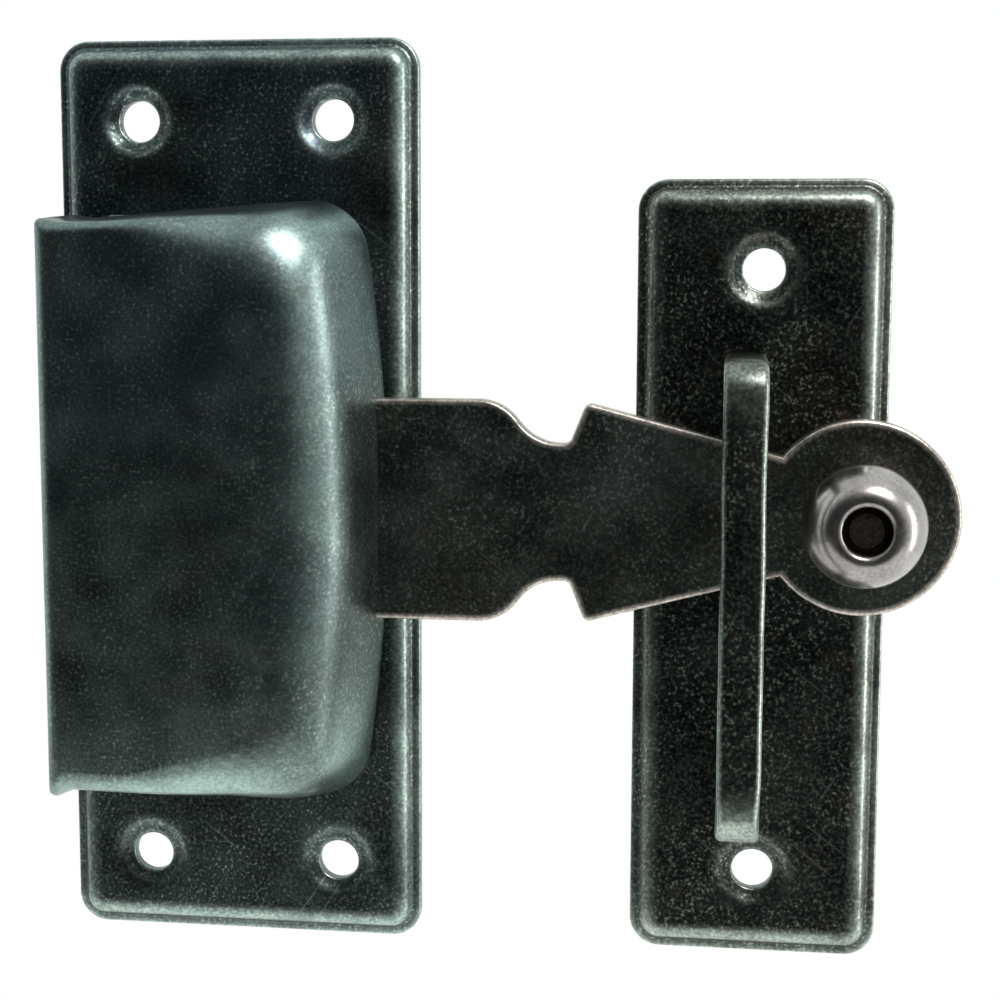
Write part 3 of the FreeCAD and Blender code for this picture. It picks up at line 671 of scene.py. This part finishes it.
def make_staple():
    """The keeper staple: a strap bent twice over, with a tenon on each leg."""
    foot = FIELD
    top = staple_high.y
    low_z, high_z = staple_low.z, staple_high.z
    middle = (staple_low.x + staple_high.x) / 2
    width = staple_high.x - staple_low.x
    staple = bmesh.new()
    wear_and_highlight_layer = staple.verts.layers.float.new("wear")
    section = strap_section(width, STAPLE_STRAP, STAPLE_EDGE)
    ring = [staple.verts.new((middle + across, -foot, low_z + STAPLE_STRAP - out))
            for across, out in section]
    for start, end in zip(ring, ring[1:] + ring[:1]):
        staple.edges.new((start, end))
    staple.faces.new(ring)
    loop = [edge for edge in staple.edges]

    def run_on(offset, steps):
        """Carry the open end of the strap straight on."""
        nonlocal loop
        for _ in range(steps):
            grown = bmesh.ops.extrude_edge_only(staple, edges=loop)["geom"]
            fresh = [item for item in grown if isinstance(item, bmesh.types.BMVert)]
            bmesh.ops.translate(staple, vec=Vector(offset) / steps, verts=fresh)
            loop = [item for item in grown if isinstance(item, bmesh.types.BMEdge)
                    and all(vertex in fresh for vertex in item.verts)]

    def bend_on(centre_height, centre_z):
        """Carry the open end of the strap round a quarter turn."""
        nonlocal loop
        turned = bmesh.ops.spin(staple, geom=loop, cent=(0, -centre_height, centre_z),
                                axis=(1, 0, 0), angle=-math.pi / 2, steps=9, use_merge=False)
        loop = [item for item in turned["geom_last"] if isinstance(item, bmesh.types.BMEdge)]

    leg = top - STAPLE_BEND - foot
    run_on((0, -leg, 0), 6)
    bend_on(top - STAPLE_BEND, low_z + STAPLE_BEND)
    run_on((0, 0, high_z - low_z - 2 * STAPLE_BEND), 24)
    bend_on(top - STAPLE_BEND, high_z - STAPLE_BEND)
    run_on((0, leg, 0), 6)
    bmesh.ops.contextual_create(staple, geom=loop)
    bmesh.ops.recalc_face_normals(staple, faces=staple.faces)
    flat_half = width / 2 - STAPLE_EDGE
    for vertex in staple.verts:
        x, height, z = vertex.co.x - middle, -vertex.co.y, vertex.co.z
        at_top = smooth(high_z - 6.0, high_z - 2.5, z) * smooth(top - 4.0, top, height)
        at_bottom = 1.0 - smooth(low_z + 2.0, low_z + 7.0, z)
        on_edge = smooth(flat_half - 0.05, width / 2 - 0.1, abs(x))
        outside = smooth(top - STAPLE_STRAP + 0.2, top - 0.5, height)
        # Painted highlight: the right edge, on the side of the light, is painted brighter than the
        # left; the edges and both bends are lighter as well.
        wear = on_edge * (1.0 if x > 0 else 0.6)
        wear = max(wear, at_top * 0.55, at_bottom * outside * 0.85)
        vertex[wear_and_highlight_layer] = wear
        vertex.co.x = middle + x * (1.0 - 0.12 * at_bottom * outside)
        vertex.co.x += 0.12 * noise.noise(Vector((0.0, z * 0.12, 2.0)))
    for z in (low_z + STAPLE_STRAP / 2, high_z - STAPLE_STRAP / 2):
        tenon = rounded_block((middle - 1.3, FIELD - SHEET - 0.2, z - 0.8),
                              (middle + 1.3, FIELD + 0.3, z + 0.8), 0.12)
        peen = rounded_block((middle - 1.9, FIELD - SHEET - PEEN_HEIGHT, z - 1.4),
                             (middle + 1.9, FIELD - SHEET, z + 1.4), 0.35)
        staple = join_sheets(staple, join_sheets(tenon, peen, MERGE_MM), MERGE_MM)
    return finish_piece(staple, "bent_staple", "mounting", ["keeper_staple"])


drawn_cover = make_cover()
cover_tabs = make_cover_tabs()
bolt_bar = make_bar()
turned_knob = make_knob()
bent_staple = make_staple()

# Finishes ----------------------------------------------------------------------------------------


def linear(shade):
    """An sRGB hex colour as linear values."""
    parts = [int(shade[i:i + 2], 16) / 255 for i in (1, 3, 5)]
    return tuple(p / 12.92 if p <= 0.04045 else ((p + 0.055) / 1.055) ** 2.4 for p in parts) + (1,)


def add_node(tree, kind, links=None, **settings):
    """Add a node, set its properties, and set or link its inputs by name or number."""
    node = tree.nodes.new(kind)
    for name, value in settings.items():
        setattr(node, name, value)
    for key, value in (links or {}).items():
        if isinstance(value, bpy.types.NodeSocket):
            tree.links.new(value, node.inputs[key])
        else:
            node.inputs[key].default_value = value
    return node


def per_mm(size):
    """The noise scale that gives a pattern of one size in millimetres."""
    return 1.0 / (size * MM)


def steel_finish(name, shades, rough, speckle=0.5, scratch=0.3, rust=0.3, coat=0.15, seed=0.0,
                 grit=0.6, ripple=0.8):
    """Steel with a dark chemical finish under thin lacquer. shades are the deep tone, the
    cloudy tone, the cast that drifts over it, the fleck colour and the bare metal."""
    deep, cloudy, cast, fleck, bare = (linear(shade) for shade in shades)
    fleck_shadow = tuple(mix(a, b, 0.22) for a, b in zip(cloudy, fleck))
    material = bpy.data.materials.new(name)
    material.use_nodes = True
    tree = material.node_tree
    tree.nodes.clear()
    coordinates = add_node(tree, "ShaderNodeTexCoord").outputs["Object"]
    place = add_node(tree, "ShaderNodeMapping", {
        "Vector": coordinates, "Location": (seed * 0.017, seed * 0.031, seed * 0.023),
    }).outputs[0]

    def pattern(size, detail=2.0, vector=place, distortion=0.0):
        return add_node(tree, "ShaderNodeTexNoise", {
            "Vector": vector, "Scale": per_mm(size), "Detail": detail, "Distortion": distortion,
        }).outputs[0]

    def between(value, low, high, start=0.0, end=1.0):
        return add_node(tree, "ShaderNodeMapRange", {
            "Value": value, "From Min": low, "From Max": high, "To Min": start, "To Max": end,
        }).outputs[0]

    def times(first, second):
        return add_node(tree, "ShaderNodeMath", {0: first, 1: second},
                        operation="MULTIPLY").outputs[0]

    def blend(share, first, second):
        return add_node(tree, "ShaderNodeMix", {0: share, 6: first, 7: second},
                        data_type="RGBA").outputs[2]

    # The finish is cloudy over 7 mm, drifts in colour over 24 mm, and is flecked at 0.35 mm.
    clouds = pattern(7.0, 4.0)
    upward = add_node(tree, "ShaderNodeSeparateXYZ", {0: coordinates}).outputs["Z"]
    raised = add_node(tree, "ShaderNodeMath", {0: upward, 1: 5.0, 2: pattern(24.0, 1.0)},
                      operation="MULTIPLY_ADD").outputs[0]
    drift = between(raised, 0.45, 0.70)
    fine = pattern(0.35, 3.0)
    flecks = between(fine, 0.59, 0.69)
    patches = between(pattern(8.0, 3.0), 0.38, 0.62, 0.15, 1.0)
    colour = blend(between(clouds, 0.36, 0.68), deep, cloudy)
    colour = blend(times(drift, 0.75), colour, cast)
    colour = blend(between(fine, 0.40, 0.66, 0.0, 0.55), colour, fleck_shadow)
    colour = blend(times(times(flecks, patches), speckle), colour, fleck)

    # Scratches 5 mm long and 0.15 mm wide, each way across, and few.
    for turn, size in ((31, 0.31), (-52, 0.37)):
        slant = add_node(tree, "ShaderNodeMapping", {
            "Vector": place, "Rotation": (0.0, math.radians(turn), 0.0), "Scale": (1, 8, 34),
        }, vector_type="TEXTURE").outputs[0]
        hairlines = between(pattern(size, 0.0, slant), 0.81, 0.84)
        colour = blend(times(hairlines, scratch), colour, bare)

    # Rubbed places and painted highlights: the mesh's wear attribute says where, broad wear of 5 mm
    # and grit of 0.3 mm make it uneven.
    worn_and_highlit = add_node(tree, "ShaderNodeAttribute", attribute_name="wear").outputs["Fac"]
    uneven = times(between(pattern(5.0, 2.0), 0.35, 0.65, 0.55, 1.0),
                   between(fine, 0.36, 0.62, grit, 1.15))
    rubbed_and_highlit = add_node(tree, "ShaderNodeMath", {0: worn_and_highlit, 1: uneven}, operation="MULTIPLY",
                      use_clamp=True).outputs[0]
    colour = blend(rubbed_and_highlit, colour, bare)
    spots = between(pattern(3.2, 4.0), 0.63, 0.72)
    colour = blend(times(spots, rust), colour, linear("#5c3a2e"))

    gloss = between(clouds, 0.3, 0.7, rough - 0.05, rough + 0.07)
    relief = add_node(tree, "ShaderNodeMath", {
        0: times(pattern(0.5, 3.0), 0.35), 1: pattern(3.5, 2.0),
    }, operation="ADD").outputs[0]
    bump = add_node(tree, "ShaderNodeBump", {
        "Height": relief, "Distance": 0.035 * MM, "Strength": ripple,
    }).outputs[0]
    surface = add_node(tree, "ShaderNodeBsdfPrincipled", {
        "Base Color": colour, "Metallic": 1.0, "Roughness": gloss, "Normal": bump,
        "Coat Weight": coat, "Coat Roughness": 0.22,
    })
    output = add_node(tree, "ShaderNodeOutputMaterial")
    tree.links.new(surface.outputs[0], output.inputs["Surface"])
    return material


# Steel sheet with an antique black finish, lacquered: near black, cool, and bright where rubbed
# and where highlights are painted.
black_housing = steel_finish(
    "antique_black_steel_housing", ("#252c2a", "#3b4542", "#364658", "#b8c4be", "#b4c6bf"),
    0.34, speckle=0.80, scratch=0.20, rust=0.12, seed=1.0)
# The same finish drawn over the cover, a little greyer, with a blue cast and fine pale flecks.
black_cover = steel_finish(
    "antique_black_steel_cover", ("#37403d", "#505b57", "#46565f", "#b0bbb5", "#a2b8b3"),
    0.33, speckle=0.65, scratch=0.12, rust=0.25, seed=2.3, grit=0.75)
# The keeper's plate and staple, whose finish has gone brown.
black_keeper = steel_finish(
    "antique_black_steel_keeper", ("#171c1a", "#282e2b", "#262421", "#b9bcae", "#b4bfb6"),
    0.33, speckle=0.80, scratch=0.15, rust=0.22, seed=5.1)
# The bolt, blanked from plate: its flat face is brown black and its edges are rosy bright.
black_bolt = steel_finish(
    "antique_black_steel_bolt", ("#2c3431", "#434c48", "#3f3a34", "#b0b0a6", "#cfc4bc"),
    0.36, speckle=0.55, scratch=0.20, rust=0.30, seed=7.7)
# The turned knob: the black has been polished off, which leaves grey steel with a copper blush.
polished_knob = steel_finish(
    "polished_steel_knob", ("#4a3f3c", "#5a5350", "#5c443c", "#b0aaa4", "#b3acab"),
    0.24, speckle=0.20, scratch=0.15, rust=0.25, coat=0.3, seed=9.2, grit=0.85, ripple=0.25)
# Rivets: soft steel, upset by hammer, dull and dark.
rivet_steel = steel_finish(
    "hammered_rivet_steel", ("#22211f", "#33302c", "#3f2f29", "#6f6a60", "#8a857e"),
    0.42, speckle=0.40, scratch=0.0, rust=0.4, coat=0.0, seed=12.4)
# Washers and bush: plain mild steel with a film of oil.
oiled_steel = steel_finish(
    "oiled_mild_steel", ("#6f7472", "#8a8e8b", "#7c7a74", "#b3b5b0", "#b9bcb8"),
    0.30, speckle=0.25, scratch=0.3, rust=0.15, coat=0.1, seed=15.0)
# The leaf spring: carbon spring steel, blued by tempering.
blued_spring = steel_finish(
    "blued_spring_steel", ("#1f2a40", "#33415c", "#3f3b54", "#6f7c90", "#99a2ad"),
    0.28, speckle=0.20, scratch=0.2, rust=0.10, coat=0.1, seed=18.6)


def dress_piece(piece, material):
    piece.data.materials.clear()
    piece.data.materials.append(material)


def dress_node(node, material):
    """Give a carried-over CAD node a finish, through its own material slots."""
    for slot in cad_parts[node].material_slots:
        slot.material = material


for piece, material in (
    (housing_plate, black_housing), (drawn_cover, black_cover), (cover_tabs, black_cover),
    (keeper_plate, black_keeper), (bent_staple, black_keeper), (bolt_bar, black_bolt),
    (turned_knob, polished_knob),
):
    dress_piece(piece, material)
for node, material in (
    ("housing_plate", black_housing), ("housing_cover", black_cover),
    ("keeper_plate", black_keeper), ("keeper_staple", black_keeper), ("latch_bar", black_bolt),
    ("bar_knob", polished_knob), ("knob_rivet", rivet_steel), ("pivot_stud", rivet_steel),
    ("spring_rivets", rivet_steel), ("wear_washer", oiled_steel),
    ("retaining_washer", oiled_steel), ("slide_bush", oiled_steel),
    ("friction_spring", blued_spring),
):
    dress_node(node, material)


# Camera, floor and light -----------------------------------------------------------------------

LENS_MM = 64.8
AZIMUTH, ELEVATION, ROLL = math.radians(7.4), math.radians(6.9), math.radians(0.2)
DISTANCE = 193.0
TARGET = Vector((28.0, 0.0, 0.0))
# In metres.
FLOOR_LEVEL = -0.6
FLOOR_HALF = 1.2


def add_camera():
    """A camera to the right of the latch and a little above it."""
    data = bpy.data.cameras.new("camera")
    data.sensor_width = 36.0
    data.lens = LENS_MM
    data.clip_start = 0.005
    camera = bpy.data.objects.new("camera", data)
    bpy.context.scene.collection.objects.link(camera)
    turn = (
        Matrix.Rotation(AZIMUTH, 4, "Z")
        @ Matrix.Rotation(math.pi / 2 - ELEVATION, 4, "X")
        @ Matrix.Rotation(ROLL, 4, "Z")
    )
    back = turn @ Vector((0, 0, DISTANCE))
    camera.matrix_world = Matrix.Translation((TARGET + back.to_3d()) * MM) @ turn
    bpy.context.scene.camera = camera


def add_light(name, place, size, power, colour):
    data = bpy.data.lights.new(name, "AREA")
    data.shape = "RECTANGLE"
    data.size, data.size_y = size[0] * MM, size[1] * MM
    data.energy = power
    data.color = colour
    light = bpy.data.objects.new(name, data)
    bpy.context.scene.collection.objects.link(light)
    light.location = Vector(place) * MM
    light.rotation_euler = (TARGET - Vector(place)).to_track_quat("-Z", "Y").to_euler()


def add_floor():
    """A plain pale floor, well below the latch, that only catches soft light."""
    floor = bmesh.new()
    bmesh.ops.create_grid(floor, x_segments=1, y_segments=1, size=FLOOR_HALF)
    bmesh.ops.translate(floor, vec=(0, 0, FLOOR_LEVEL), verts=floor.verts)
    mesh = bpy.data.meshes.new("studio_floor")
    floor.to_mesh(mesh)
    floor.free()
    piece = bpy.data.objects.new("studio_floor", mesh)
    bpy.context.scene.collection.objects.link(piece)
    material = bpy.data.materials.new("matt_white_card")
    material.use_nodes = True
    surface = material.node_tree.nodes["Principled BSDF"]
    grain = add_node(material.node_tree, "ShaderNodeTexNoise", {"Scale": 40.0, "Detail": 2.0})
    shade = add_node(material.node_tree, "ShaderNodeMix", {
        0: grain.outputs[0], 6: linear("#fbfbfa"), 7: linear("#ffffff"),
    }, data_type="RGBA")
    material.node_tree.links.new(shade.outputs[2], surface.inputs["Base Color"])
    surface.inputs["Roughness"].default_value = 0.9
    surface.inputs["Emission Color"].default_value = (1, 1, 1, 1)
    surface.inputs["Emission Strength"].default_value = 0.35
    mesh.materials.append(material)


def add_studio_world():
    """A white studio all round, but for the dim opening that the camera looks through."""
    world = bpy.data.worlds.new("studio")
    bpy.context.scene.world = world
    world.use_nodes = True
    tree = world.node_tree
    tree.nodes.clear()
    direction = add_node(tree, "ShaderNodeTexCoord").outputs["Generated"]
    forward = add_node(tree, "ShaderNodeVectorMath", {0: direction, 1: (-0.18, -0.97, -0.16)},
                       operation="DOT_PRODUCT").outputs["Value"]
    dim = add_node(tree, "ShaderNodeMapRange", {
        "Value": forward, "From Min": 0.25, "From Max": 0.88, "To Min": 0.0, "To Max": 1.0,
    }, interpolation_type="SMOOTHSTEP").outputs[0]
    tone = add_node(tree, "ShaderNodeMix", {
        0: dim, 6: linear("#f2faf6"), 7: linear("#2c3432"),
    }, data_type="RGBA").outputs[2]
    surroundings = add_node(tree, "ShaderNodeBackground", {"Color": tone, "Strength": 1.0})
    paper = add_node(tree, "ShaderNodeBackground", {"Color": (1, 1, 1, 1), "Strength": 1.0})
    seen = add_node(tree, "ShaderNodeLightPath").outputs["Is Camera Ray"]
    both = add_node(tree, "ShaderNodeMixShader", {
        0: seen, 1: surroundings.outputs[0], 2: paper.outputs[0],
    })
    output = add_node(tree, "ShaderNodeOutputWorld")
    tree.links.new(both.outputs[0], output.inputs["Surface"])


add_camera()
add_floor()
add_studio_world()
add_light("key", (200, -260, 300), (110, 110), 1.5, (1.0, 0.97, 0.96))
add_light("rim", (330, -60, 0), (60, 260), 0.35, (1.0, 0.94, 0.93))
bpy.context.scene.view_settings.view_transform = "Standard"
